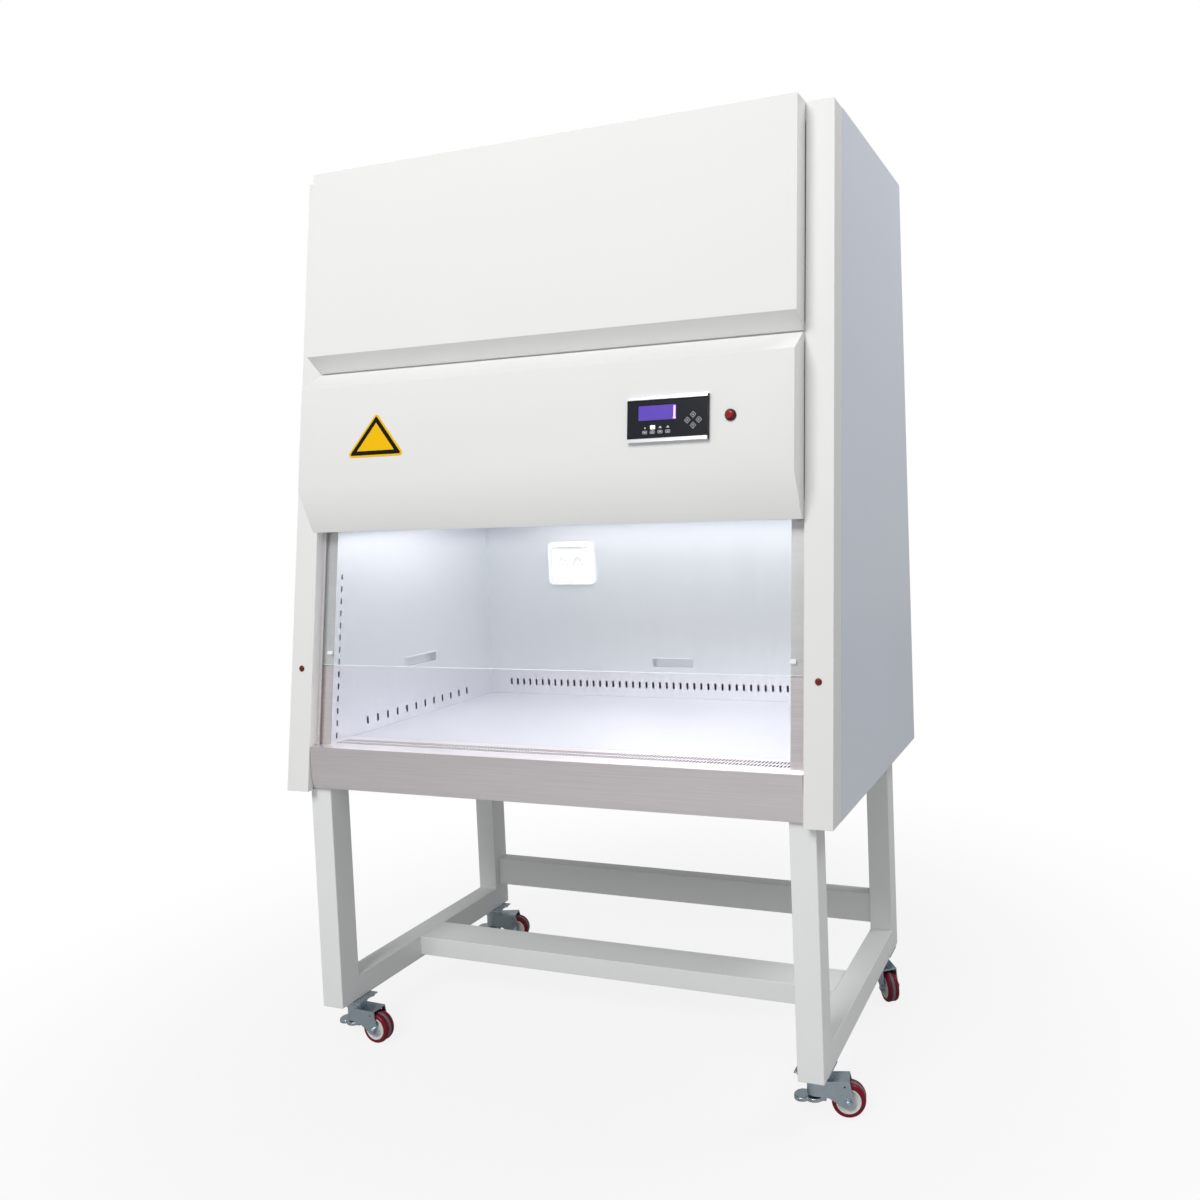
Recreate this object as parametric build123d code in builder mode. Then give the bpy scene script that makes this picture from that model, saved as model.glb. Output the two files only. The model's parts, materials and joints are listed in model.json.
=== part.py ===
"""Class II biosafety cabinet on a castor stand.

Millimetres. +Z up, the front faces -Y, X runs to the viewer's right, the floor is Z = 0 and the
origin is under the middle of the cabinet. The whole front leans back by SLANT; "inset" is how far
(along Y) a surface lies behind the plane of the front posts, and a negative inset is in front of it.
"""
import math
import os

from build123d import *

# --- Cabinet shell ---
WIDTH, DEPTH, HEIGHT = 1400.0, 810.0, 2180.0
BODY_BOTTOM = 660.0            # lower edge of the side panels and posts
SLANT = 6.8                    # degrees that the front leans back
SHEET = 2.0                    # painted steel sheet
STEEL = 1.5                    # stainless sheet
POST_W, POST_D = 64.0, 60.0    # front post, seen from the front and from the side
POST_LIP, POST_LIP_LOW = 34.0, 16.0    # depth of the post's inner fold, beside the guides and below them
POST_FOOT = 26.0               # depth of the sheet that closes the post's lower end
SEAM = 0.5                     # gap between post and side panel
HEM = 20.0                     # folded edges of the side panels

# --- Front panels (heights from the floor, and how far they stand out of the posts) ---
PANEL_GAP = 1.0                # each end of a front panel to its post
UPPER_OUT, CONTROL_OUT = 54.0, 66.0
UPPER_FACE_BOTTOM = 1722.5
JOINT_Z, JOINT_GAP, JOINT_OUT = 1684.0, 4.0, 9.0
CONTROL_FACE_TOP, CONTROL_FACE_BOTTOM = 1641.5, 1391.5
HEADER_Z, HEADER_OUT = 1291.0, 14.0
BAR_H, BAR_D = 40.0, 20.0      # sheet crossbars behind the panels

# --- Work chamber ---
SIDE_CAVITY, BACK_CAVITY = 75.0, 70.0    # outer face of the shell to inner face of the chamber
FLOOR_Z = 765.0                # work surface
CEILING_Z = 1330.0
PAN_Z, PAN_SETBACK, PAN_RIM = 700.0, 27.0, 28.0    # setbacks run from the foot of the posts
APRON_SETBACK, APRON_TOP, APRON_FLARE, APRON_BOTTOM = 12.5, 768.6, 28.5, 666.2
APRON_GAP = 1.4                # each end of the apron to its post
GRILLE_SETBACK, GRILLE_D = 60.0, 83.0
GRILLE_SLOT = (4.2, 19.0)
GRILLE_PITCH = 8.5
WALL_SLOT_W, WALL_SLOT_H = 7.0, 20.0
BACK_SLOT_PITCH, BACK_SLOT_MARGIN, BACK_SLOT_Z = 22.2, 66.0, 802.0
SIDE_SLOT_PITCH, SIDE_SLOT_MARGIN, SIDE_SLOT_Z = 37.4, 128.0, 795.0
EDGE_SLOT_PITCH, EDGE_SLOTS, EDGE_SLOT_INSET = 30.5, 14, 76.0
RECESS_W, RECESS_H, RECESS_D = 134.0, 28.0, 18.0
BACK_RECESS_Z, SIDE_RECESS_Y, SIDE_RECESS_Z = 870.0, 10.0, 922.0
LAMP_D, LAMP_CAP, LAMP_CAP_W, LAMP_END = 26.0, 16.0, 30.0, 59.0
LAMP_INSET, LAMP_BACK_GAP, LAMP_DROP = 67.2, 29.0, 22.0

# --- Sash ---
GLASS, GLASS_INSET, GLASS_PLAY = 5.0, 24.0, 0.5
SASH_BOTTOM, SASH_TOP = 963.0, 1519.0
GUIDE_TOP = 1905.0
GUIDE_W, GUIDE_LIP = 38.0, 8.0
BUMPER_W, BUMPER_H, BUMPER_T, BUMPER_GAP, BUMPER_UP = 14.0, 9.0, 2.5, 24.0, 26.0
POST_SCREW_Z = 957.0

# --- Socket box on the back wall ---
SOCKET_X, SOCKET_Z = -320.0, 1168.0
SOCKET_W, SOCKET_H, SOCKET_PROUD, SOCKET_BODY = 156.0, 130.0, 14.0, 40.0
LID_W, LID_H, LID_D, LID_WALL = 128.0, 100.0, 12.0, 2.0
HINGE_PIN = 4.0

# --- Air system ---
PLENUM_SIDE_GAP, PLENUM_SETBACK, PLENUM_BACK_GAP = 35.0, 200.0, 10.0
OUTLET_PITCH, OUTLET_W, OUTLET_ROW, OUTLET_D = 92.0, 80.0, 120.0, 100.0
FILTER_H, PLENUM_TOP = 70.0, 1640.0
FAN_X, FAN_Y, FAN_Z, FAN_W = -300.0, 60.0, 1815.0, 240.0
SCROLL_R, ROTOR_R, BLADES = 155.0, 122.0, 24
DUCT = (140.0, 500.0, -100.0, 220.0)      # exhaust duct: x from, x to, y from, y to
EXHAUST_FILTER_H = 100.0
SHAFT_D, RUN_FIT = 16.0, 0.05             # running fits are radial

# --- Controller ---
CTRL_X, CTRL_Z = 354.0, 1511.0
CTRL_W, CTRL_H, CTRL_D = 188.0, 98.0, 8.0
RAIL_H, RAIL_D = 7.5, 11.0
SCREEN_W, SCREEN_H, SCREEN_X, SCREEN_Y = 92.0, 35.0, -23.0, 13.5
KEY_D, KEY_PROUD, KEY_WELL, KEY_GAP = 3.0, 0.8, 4.2, 0.35
F_KEY_W, F_KEY_H, F_KEY_PITCH, F_KEY_X, F_KEY_Y = 12.0, 7.5, 17.9, -24.5, -28.0
ARROW_SIDE, ARROW_X, ARROW_Y, ARROW_DX, ARROW_DY = 11.0, 60.5, -7.0, 13.3, 11.5
BUTTON_X, BUTTON_D, BEZEL_D, BEZEL_H, BARREL_D = 142.0, 17.0, 25.0, 5.0, 21.0

# --- Stand and castors ---
TUBE, TUBE_WALL = 60.0, 3.0
LEG_SIDE_GAP, LEG_SETBACK, LEG_BACK_GAP = 45.0, 29.0, 84.0    # shell to the outside of the stand
TOP_RAIL_H = 32.0
MID_RAIL_Y, MID_RAIL_D, MID_RAIL_H = -87.0, 100.0, 50.0
REAR_RAIL_Z, REAR_RAIL_D, REAR_RAIL_H = 176.0, 40.0, 80.0
CASTOR_H, WHEEL_D, WHEEL_W, TRAIL = 107.0, 75.0, 32.0, 70.0
PIVOT_SIDE, PIVOT_NEAR, PIVOT_FAR = 40.0, 66.0, 51.0    # outside of the stand to the king pins
SWIVEL = {"fl": -2.0, "fr": 14.0, "rl": 18.0, "rr": -55.0}
PLATE_W, PLATE_D, PLATE_T = 80.0, 64.0, 3.0
RACE_D, RACE_H, KINGPIN_D = 54.0, 7.0, 10.0
FORK_IN, FORK_T, FORK_END, AXLE_D = 18.0, 2.5, 73.0, 8.0
CROWN_Z, SKIRT_Z, LUG_R = 85.0, 51.0, 13.0       # fork: top face, lower edge round the swivel, axle lug
TREAD_IN_D = 56.0
PEDAL_X, PEDAL_Z, PEDAL_PIN, PEDAL_T, PEDAL_RIM = 16.0, 56.0, 6.0, 2.5, 8.0

# --- Derived ---
TAN = math.tan(math.radians(SLANT))
COS = math.cos(math.radians(SLANT))
SIN = math.sin(math.radians(SLANT))
X_OUT = WIDTH / 2
X_POST = X_OUT - POST_W
X_SKIN = X_OUT - SHEET
Y_BACK = DEPTH / 2
Y_SKIN = Y_BACK - SHEET
Z_SKIN = HEIGHT - SHEET
PANEL_HALF = X_POST - PANEL_GAP
CHAMBER_HALF = X_OUT - SIDE_CAVITY
CHAMBER_BACK = Y_BACK - BACK_CAVITY
PAN_FRONT = PAN_SETBACK - Y_BACK
APRON_Y = APRON_SETBACK - Y_BACK
APRON_HALF = X_POST - APRON_GAP
GRILLE_FRONT = GRILLE_SETBACK - Y_BACK
GRILLE_BACK = GRILLE_FRONT + GRILLE_D
PLENUM_HALF = CHAMBER_HALF - PLENUM_SIDE_GAP
PLENUM_FRONT = PLENUM_SETBACK - Y_BACK
PLENUM_BACK = CHAMBER_BACK - PLENUM_BACK_GAP
LEG_OUT = X_OUT - LEG_SIDE_GAP
LEG_FRONT = LEG_SETBACK - Y_BACK
LEG_BACK = Y_BACK - LEG_BACK_GAP
PIVOT_X = LEG_OUT - PIVOT_SIDE
PIVOT_FRONT = LEG_FRONT + PIVOT_NEAR
PIVOT_BACK = LEG_BACK - PIVOT_FAR
BACK_SLOTS = int(2 * (CHAMBER_HALF - BACK_SLOT_MARGIN) / BACK_SLOT_PITCH) + 1
SIDE_SLOTS = int((CHAMBER_BACK - GRILLE_BACK - SIDE_SLOT_MARGIN) / SIDE_SLOT_PITCH)
OUTLETS = int(2 * PLENUM_HALF / OUTLET_PITCH)
OUTLET_ROWS = int((PLENUM_BACK - PLENUM_FRONT) / OUTLET_ROW)
LEG_IN = LEG_OUT - TUBE
DUCT_X0, DUCT_X1, DUCT_Y0, DUCT_Y1 = DUCT
FORK_TOP = CASTOR_H - PLATE_T - RACE_H - 0.3
AXLE_Z = WHEEL_D / 2
PIVOTS = {
    "fl": (-PIVOT_X, PIVOT_FRONT), "fr": (PIVOT_X, PIVOT_FRONT),
    "rl": (-PIVOT_X, PIVOT_BACK), "rr": (PIVOT_X, PIVOT_BACK),
}
STACK = (Align.CENTER, Align.CENTER, Align.MIN)
HANG = (Align.CENTER, Align.CENTER, Align.MAX)


def front_y(z, inset=0.0):
    """Y of the slanted front at height z."""
    return -Y_BACK + (z - BODY_BOTTOM) * TAN + inset


def band(z0, z1, near, far):
    """Corners (Y, Z) of a strip that follows the front, between two insets."""
    return [(front_y(z0, near), z0), (front_y(z0, far), z0), (front_y(z1, far), z1), (front_y(z1, near), z1)]


def slab(x0, x1, y0, y1, z0, z1, mode=Mode.ADD):
    """A block between six limits."""
    with Locations(((x0 + x1) / 2, (y0 + y1) / 2, (z0 + z1) / 2)):
        Box(abs(x1 - x0), abs(y1 - y0), abs(z1 - z0), mode=mode)


# Plane of the control panel's face, centred on the controller: local y runs up the slope.
FACE = Plane(origin=(CTRL_X, front_y(CTRL_Z, -CONTROL_OUT), CTRL_Z), x_dir=(1, 0, 0), z_dir=(0, -COS, SIN))
UP_THE_WALL = Plane(origin=(0, CHAMBER_BACK, 0), x_dir=(1, 0, 0), z_dir=(0, -1, 0))

# ---------------------------------------------------------------- shell
with BuildPart() as front_post_r:
    with BuildSketch(Plane.YZ.offset(X_POST)):
        Polygon(*band(BODY_BOTTOM, Z_SKIN, 0, SHEET), align=None)
    extrude(amount=POST_W)
    with BuildSketch(Plane.YZ.offset(X_SKIN)):
        Polygon(*band(BODY_BOTTOM, Z_SKIN, 0, POST_D), align=None)
    extrude(amount=SHEET)
    with BuildSketch(Plane.YZ.offset(X_POST)):
        Polygon(*band(BODY_BOTTOM, APRON_TOP, 0, POST_LIP_LOW), align=None)
        Polygon(*band(APRON_TOP, Z_SKIN, 0, POST_LIP), align=None)
    extrude(amount=SHEET)
    with BuildSketch(Plane.YZ.offset(X_POST)):
        Polygon(*band(BODY_BOTTOM, BODY_BOTTOM + SHEET, 0, POST_FOOT), align=None)
    extrude(amount=POST_W)
    with BuildSketch(Plane.YZ.offset(X_POST)):
        Polygon(*band(Z_SKIN, HEIGHT, 0, SHEET), align=None)
    extrude(amount=POST_W)

with BuildPart() as front_post_l:
    add(mirror(front_post_r.part, about=Plane.YZ))

with BuildPart() as side_panel_r:
    near = POST_D + SEAM
    with BuildSketch(Plane.YZ.offset(X_SKIN)):
        Polygon((front_y(BODY_BOTTOM, near), BODY_BOTTOM), (Y_BACK, BODY_BOTTOM), (Y_BACK, HEIGHT),
                (front_y(HEIGHT, near), HEIGHT), align=None)
    extrude(amount=SHEET)
    slab(X_SKIN - HEM, X_SKIN, Y_SKIN - SHEET, Y_SKIN, BODY_BOTTOM, Z_SKIN)
    slab(X_SKIN - HEM, X_SKIN, front_y(BODY_BOTTOM, near), Y_SKIN, BODY_BOTTOM, BODY_BOTTOM + SHEET)

with BuildPart() as side_panel_l:
    add(mirror(side_panel_r.part, about=Plane.YZ))

with BuildPart() as back_panel:
    slab(-X_SKIN, X_SKIN, Y_SKIN, Y_BACK, BODY_BOTTOM, Z_SKIN)
    with Locations((-X_SKIN * 0.7, Y_SKIN, PAN_Z + 120)):
        Box(46, 3 * SHEET, 26, mode=Mode.SUBTRACT)
    slab(-X_SKIN * 0.7 - 27, -X_SKIN * 0.7 + 27, Y_SKIN - 26, Y_SKIN, PAN_Z + 103, PAN_Z + 137)
    slab(-X_SKIN * 0.7 - 23, -X_SKIN * 0.7 + 23, Y_SKIN - 18, Y_BACK, PAN_Z + 107, PAN_Z + 133,
         mode=Mode.SUBTRACT)

with BuildPart() as top_cover:
    slab(-X_SKIN, X_SKIN, front_y(HEIGHT, SHEET), Y_BACK, Z_SKIN, HEIGHT)
    guard_y = (DUCT_Y0 + DUCT_Y1) / 2
    with Locations(((DUCT_X0 + DUCT_X1) / 2, guard_y, Z_SKIN + SHEET / 2)):
        with GridLocations(26, 0, 13, 1):
            Box(18, DUCT_Y1 - DUCT_Y0 - 30, 2 * SHEET, mode=Mode.SUBTRACT)

with BuildPart() as upper_front_panel:
    with BuildSketch(Plane.YZ):
        Polygon((front_y(HEIGHT), HEIGHT), (front_y(HEIGHT, -UPPER_OUT), HEIGHT),
                (front_y(UPPER_FACE_BOTTOM, -UPPER_OUT), UPPER_FACE_BOTTOM),
                (front_y(JOINT_Z + JOINT_GAP / 2, -JOINT_OUT), JOINT_Z + JOINT_GAP / 2),
                (front_y(JOINT_Z + JOINT_GAP / 2), JOINT_Z + JOINT_GAP / 2), align=None)
    extrude(amount=PANEL_HALF, both=True)
    offset(amount=-SHEET, openings=upper_front_panel.faces().filter_by(lambda f: f.normal_at().Y > 0.9))

with BuildPart() as control_panel:
    with BuildSketch(Plane.YZ):
        Polygon((front_y(JOINT_Z - JOINT_GAP / 2), JOINT_Z - JOINT_GAP / 2),
                (front_y(JOINT_Z - JOINT_GAP / 2, -JOINT_OUT), JOINT_Z - JOINT_GAP / 2),
                (front_y(CONTROL_FACE_TOP, -CONTROL_OUT), CONTROL_FACE_TOP),
                (front_y(CONTROL_FACE_BOTTOM, -CONTROL_OUT), CONTROL_FACE_BOTTOM),
                (front_y(HEADER_Z, -HEADER_OUT), HEADER_Z), (front_y(HEADER_Z), HEADER_Z), align=None)
    extrude(amount=PANEL_HALF, both=True)
    offset(amount=-SHEET, openings=control_panel.faces().filter_by(lambda f: f.normal_at().Y > 0.9))
    with Locations(FACE):
        with Locations((BUTTON_X, 0, 0)):
            Cylinder(BARREL_D / 2 + 0.3, 3 * SHEET, mode=Mode.SUBTRACT)

with BuildPart() as front_crossbars:
    for bottom in (HEADER_Z, JOINT_Z - BAR_H / 2, Z_SKIN - BAR_H):
        with BuildSketch(Plane.YZ):
            Polygon(*band(bottom, bottom + BAR_H, 0, SHEET), align=None)
            Polygon(*band(bottom, bottom + SHEET, 0, BAR_D), align=None)
        extrude(amount=X_POST, both=True)

with BuildPart() as post_screws:
    for side in (-1, 1):
        seat = Plane(origin=(side * (X_POST + POST_W / 2), front_y(POST_SCREW_Z), POST_SCREW_Z),
                     x_dir=(1, 0, 0), z_dir=(0, -COS, SIN))
        with Locations(seat):
            Cylinder(7.5, 1.5, align=STACK)
            Cylinder(5.0, 4.0, align=STACK)

# ---------------------------------------------------------------- work chamber
with BuildPart() as base_pan:
    slab(-X_SKIN, X_SKIN, PAN_FRONT, Y_SKIN - SHEET, PAN_Z, PAN_Z + PAN_RIM)
    slab(-X_SKIN + SHEET, X_SKIN - SHEET, PAN_FRONT + SHEET, Y_SKIN - 2 * SHEET, PAN_Z + SHEET,
         PAN_Z + PAN_RIM, mode=Mode.SUBTRACT)
    with Locations((0, 0, PAN_Z)):
        Cylinder(12, 4 * SHEET, mode=Mode.SUBTRACT)

with BuildPart() as front_apron:
    with BuildSketch(Plane.YZ):
        with BuildLine():
            Polyline((GRILLE_FRONT - 0.5, APRON_TOP - 12), (GRILLE_FRONT - 0.5, APRON_TOP), (APRON_Y, APRON_TOP),
                     (APRON_Y, APRON_BOTTOM + APRON_FLARE), (APRON_Y + 5, APRON_BOTTOM),
                     (APRON_Y + 14, APRON_BOTTOM))
            offset(amount=STEEL, side=Side.LEFT, kind=Kind.INTERSECTION)
        make_face()
    extrude(amount=APRON_HALF, both=True)
    for side in (-1, 1):
        slab(side * (APRON_HALF - STEEL), side * APRON_HALF, APRON_Y + STEEL, PAN_FRONT, PAN_Z + 1,
             APRON_TOP - STEEL)

with BuildPart() as front_grille:
    slab(-CHAMBER_HALF, CHAMBER_HALF, GRILLE_FRONT, GRILLE_BACK, FLOOR_Z - STEEL, FLOOR_Z)
    slab(-CHAMBER_HALF, CHAMBER_HALF, GRILLE_BACK - STEEL, GRILLE_BACK, FLOOR_Z - 14, FLOOR_Z - STEEL)
    columns = int(2 * (CHAMBER_HALF - 12) / GRILLE_PITCH)
    with Locations((0, GRILLE_FRONT + 32, FLOOR_Z - STEEL / 2)):
        with GridLocations(GRILLE_PITCH, GRILLE_SLOT[1] + 6, columns, 2):
            Box(*GRILLE_SLOT, 2 * STEEL, mode=Mode.SUBTRACT)

with BuildPart() as work_surface:
    slab(-CHAMBER_HALF + 1, CHAMBER_HALF - 1, GRILLE_BACK + 1, CHAMBER_BACK - 1, FLOOR_Z - 20, FLOOR_Z)
    offset(amount=-STEEL, openings=work_surface.faces().sort_by(Axis.Z)[0])

with BuildPart() as tray_supports:
    for side in (-1, 1):
        x0 = side * (CHAMBER_HALF - 40)
        slab(x0, x0 + side * 25, GRILLE_FRONT + 5, CHAMBER_BACK - 10, PAN_Z + SHEET, FLOOR_Z - STEEL)
        slab(x0 + side * STEEL, x0 + side * (25 - STEEL), GRILLE_FRONT + 5, CHAMBER_BACK - 10, PAN_Z + SHEET,
             FLOOR_Z - 2 * STEEL, mode=Mode.SUBTRACT)
        slab(x0, x0 + side * 25, GRILLE_BACK - STEEL, GRILLE_BACK + 1 + STEEL, FLOOR_Z - 20.5, FLOOR_Z,
             mode=Mode.SUBTRACT)

with BuildPart() as chamber_side_wall_r:
    wall_near = GLASS_INSET + GLASS + GLASS_PLAY + STEEL
    with BuildSketch(Plane.YZ.offset(CHAMBER_HALF)):
        Polygon((front_y(APRON_TOP, wall_near), APRON_TOP), (front_y(CEILING_Z, wall_near), CEILING_Z),
                (CHAMBER_BACK, CEILING_Z), (CHAMBER_BACK, PAN_Z + SHEET), (GRILLE_FRONT, PAN_Z + SHEET),
                (GRILLE_FRONT, APRON_TOP), align=None)
        with Locations((0, SIDE_SLOT_Z)):
            with GridLocations(SIDE_SLOT_PITCH, 0, SIDE_SLOTS, 1):
                SlotOverall(WALL_SLOT_H, WALL_SLOT_W, rotation=90, mode=Mode.SUBTRACT)
        for i in range(EDGE_SLOTS):
            z = FLOOR_Z + 14 + i * EDGE_SLOT_PITCH
            with Locations((front_y(z, EDGE_SLOT_INSET), z)):
                SlotOverall(15, 5, rotation=90 - SLANT, mode=Mode.SUBTRACT)
        with Locations((SIDE_RECESS_Y, SIDE_RECESS_Z)):
            Rectangle(RECESS_W, RECESS_H, mode=Mode.SUBTRACT)
    extrude(amount=STEEL)

with BuildPart() as chamber_side_wall_l:
    add(mirror(chamber_side_wall_r.part, about=Plane.YZ))

with BuildPart() as chamber_back_wall:
    with BuildSketch(UP_THE_WALL):
        with Locations((0, (PAN_Z + SHEET + CEILING_Z) / 2)):
            Rectangle(2 * (CHAMBER_HALF + STEEL), CEILING_Z - PAN_Z - SHEET)
        with Locations((0, BACK_SLOT_Z)):
            with GridLocations(BACK_SLOT_PITCH, 0, BACK_SLOTS, 1):
                SlotOverall(WALL_SLOT_H, WALL_SLOT_W, rotation=90, mode=Mode.SUBTRACT)
        with Locations((0, BACK_RECESS_Z)):
            Rectangle(RECESS_W, RECESS_H, mode=Mode.SUBTRACT)
        with Locations((SOCKET_X, SOCKET_Z)):
            Rectangle(SOCKET_W - 30, SOCKET_H - 30, mode=Mode.SUBTRACT)
    extrude(amount=-STEEL)

with BuildPart() as wall_recesses:
    back = Plane(origin=(0, CHAMBER_BACK, BACK_RECESS_Z), x_dir=(1, 0, 0), z_dir=(0, -1, 0))
    right = Plane(origin=(CHAMBER_HALF, SIDE_RECESS_Y, SIDE_RECESS_Z), x_dir=(0, -1, 0), z_dir=(-1, 0, 0))
    left = Plane(origin=(-CHAMBER_HALF, SIDE_RECESS_Y, SIDE_RECESS_Z), x_dir=(0, 1, 0), z_dir=(1, 0, 0))
    with Locations(back, right, left):
        Box(RECESS_W, RECESS_H, RECESS_D, align=HANG)
        Box(RECESS_W - 2 * STEEL, RECESS_H - 2 * STEEL, RECESS_D - STEEL, align=HANG, mode=Mode.SUBTRACT)
        with Locations((0, RECESS_H / 2 - STEEL / 2, 0)):
            Box(RECESS_W, STEEL, 7, align=STACK)

with BuildPart() as ceiling_deck:
    deck_front = front_y(CEILING_Z, POST_LIP + 3)
    slab(-X_SKIN, X_SKIN, deck_front, Y_SKIN - SHEET, CEILING_Z, CEILING_Z + SHEET)
    slab(-PLENUM_HALF, PLENUM_HALF, CHAMBER_BACK + 12, Y_SKIN - 18, CEILING_Z - 1, CEILING_Z + SHEET + 1,
         mode=Mode.SUBTRACT)
    with Locations((0, (PLENUM_FRONT + PLENUM_BACK) / 2, CEILING_Z + SHEET / 2)):
        with GridLocations(OUTLET_PITCH, OUTLET_ROW, OUTLETS, OUTLET_ROWS):
            Box(OUTLET_W, OUTLET_D, 2 * SHEET, mode=Mode.SUBTRACT)

with BuildPart() as lamps:
    cap_x = CHAMBER_HALF - LAMP_END
    for y in (front_y(CEILING_Z, LAMP_INSET), CHAMBER_BACK - LAMP_BACK_GAP):
        with Locations((0, y, CEILING_Z - LAMP_DROP)):
            Cylinder(LAMP_D / 2, 2 * (cap_x - LAMP_CAP), rotation=(0, 90, 0))
        for side in (-1, 1):
            slab(side * (cap_x - LAMP_CAP), side * cap_x, y - LAMP_CAP_W / 2, y + LAMP_CAP_W / 2,
                 CEILING_Z - LAMP_DROP - 14, CEILING_Z)

# ---------------------------------------------------------------- sash
with BuildPart() as sash_glass:
    with BuildSketch(Plane.YZ):
        Polygon(*band(SASH_BOTTOM, SASH_TOP, GLASS_INSET, GLASS_INSET + GLASS), align=None)
    extrude(amount=X_POST - STEEL - GLASS_PLAY, both=True)

with BuildPart() as sash_fittings:
    for side in (-1, 1):
        bumper_z = SASH_BOTTOM + BUMPER_UP
        bumper_x = side * (X_POST - BUMPER_GAP - BUMPER_W / 2)
        with BuildSketch(Plane.YZ.offset(bumper_x - BUMPER_W / 2)):
            Polygon(*band(bumper_z, bumper_z + BUMPER_H, GLASS_INSET - BUMPER_T, GLASS_INSET), align=None)
        extrude(amount=BUMPER_W)
    with BuildSketch(Plane.YZ):
        Polygon(*band(SASH_TOP - 24, SASH_TOP + 2, GLASS_INSET - 2, GLASS_INSET + GLASS + 2), align=None)
        Polygon(*band(SASH_TOP - 25, SASH_TOP, GLASS_INSET, GLASS_INSET + GLASS), align=None,
                mode=Mode.SUBTRACT)
    extrude(amount=X_POST - GUIDE_W - 4, both=True)

with BuildPart() as sash_guides:
    near, far = GLASS_INSET - GLASS_PLAY, GLASS_INSET + GLASS + GLASS_PLAY
    low = APRON_TOP + 0.4
    for side in (-1, 1):
        x_web = side * X_POST
        with BuildSketch(Plane.YZ.offset(x_web)):
            Polygon(*band(low, GUIDE_TOP, near - STEEL, near), align=None)
        extrude(amount=-side * GUIDE_LIP)
        with BuildSketch(Plane.YZ.offset(x_web)):
            Polygon(*band(low, GUIDE_TOP, near - STEEL, far + STEEL), align=None)
        extrude(amount=-side * STEEL)
        with BuildSketch(Plane.YZ.offset(x_web)):
            Polygon(*band(low, GUIDE_TOP, far, far + STEEL), align=None)
        extrude(amount=-side * GUIDE_W)

# ---------------------------------------------------------------- socket box
SOCKET_FACE = Plane(origin=(SOCKET_X, CHAMBER_BACK, SOCKET_Z), x_dir=(1, 0, 0), z_dir=(0, -1, 0))
LID_PIVOT = (LID_H / 2 + 1.0, SOCKET_PROUD + 5.0)      # up the wall, out of the wall

with BuildPart() as socket_box:
    with BuildSketch(SOCKET_FACE):
        RectangleRounded(SOCKET_W, SOCKET_H, 16)
    extrude(amount=SOCKET_PROUD)
    fillet(socket_box.faces().sort_by(Axis.Y)[0].edges(), radius=5)
    with BuildSketch(SOCKET_FACE):
        Rectangle(SOCKET_W - 30, SOCKET_H - 30)
    extrude(amount=-SOCKET_BODY)
    with BuildSketch(SOCKET_FACE.offset(SOCKET_PROUD)):
        with GridLocations(52, 0, 2, 1):
            Circle(19)
    extrude(amount=-14, mode=Mode.SUBTRACT)
    with BuildSketch(SOCKET_FACE.offset(SOCKET_PROUD - 14)):
        with GridLocations(52, 0, 2, 1):
            with PolarLocations(9, 3, start_angle=90):
                Circle(2.5)
    extrude(amount=-12, mode=Mode.SUBTRACT)
    for side in (-1, 1):
        with Locations(SOCKET_FACE):
            with Locations((side * (LID_W / 2 - 9), LID_PIVOT[0], SOCKET_PROUD)):
                Box(6, 6, LID_PIVOT[1] - SOCKET_PROUD, align=STACK)
            with Locations((side * (LID_W / 2 - 9), LID_PIVOT[0], LID_PIVOT[1])):
                Cylinder(3.6, 6, rotation=(0, 90, 0))
    with Locations(SOCKET_FACE):
        with Locations((0, LID_PIVOT[0], LID_PIVOT[1])):
            Cylinder(HINGE_PIN / 2, LID_W - 18, rotation=(0, 90, 0))

with BuildPart() as socket_lid:
    with BuildSketch(SOCKET_FACE.offset(SOCKET_PROUD + 0.5)):
        with Locations((0, -3.5)):
            RectangleRounded(LID_W, LID_H, 9)
    extrude(amount=LID_D)
    fillet(socket_lid.faces().sort_by(Axis.Y)[0].edges(), radius=3)
    offset(amount=-LID_WALL, openings=socket_lid.faces().sort_by(Axis.Y)[-1])
    with Locations(SOCKET_FACE):
        with Locations((0, LID_PIVOT[0], LID_PIVOT[1])):
            Cylinder(HINGE_PIN / 2 + 2.5, LID_W - 50, rotation=(0, 90, 0))
            Box(LID_W - 50, 8, 4, align=(Align.CENTER, Align.MAX, Align.CENTER))
            Cylinder(HINGE_PIN / 2 + RUN_FIT, LID_W, rotation=(0, 90, 0), mode=Mode.SUBTRACT)
        for side in (-1, 1):
            with Locations((side * (LID_W / 2 - 9), LID_PIVOT[0], LID_PIVOT[1])):
                Cylinder(6.3, 9, rotation=(0, 90, 0), mode=Mode.SUBTRACT)
        with Locations((0, -LID_H / 2 - 3.5, SOCKET_PROUD + LID_D / 2 + 0.5)):
            Box(22, 5, 5, align=(Align.CENTER, Align.MAX, Align.CENTER))

# ---------------------------------------------------------------- air system
with BuildPart() as supply_filter:
    slab(-PLENUM_HALF, PLENUM_HALF, PLENUM_FRONT, PLENUM_BACK, CEILING_Z + SHEET, CEILING_Z + SHEET + FILTER_H)
    slab(-PLENUM_HALF + 12, PLENUM_HALF - 12, PLENUM_FRONT + 12, PLENUM_BACK - 12, CEILING_Z,
         CEILING_Z + 2 * FILTER_H, mode=Mode.SUBTRACT)
    slab(-PLENUM_HALF + 12, PLENUM_HALF - 12, PLENUM_FRONT + 12, PLENUM_BACK - 12, CEILING_Z + SHEET + 6,
         CEILING_Z + SHEET + FILTER_H - 6)

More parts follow.
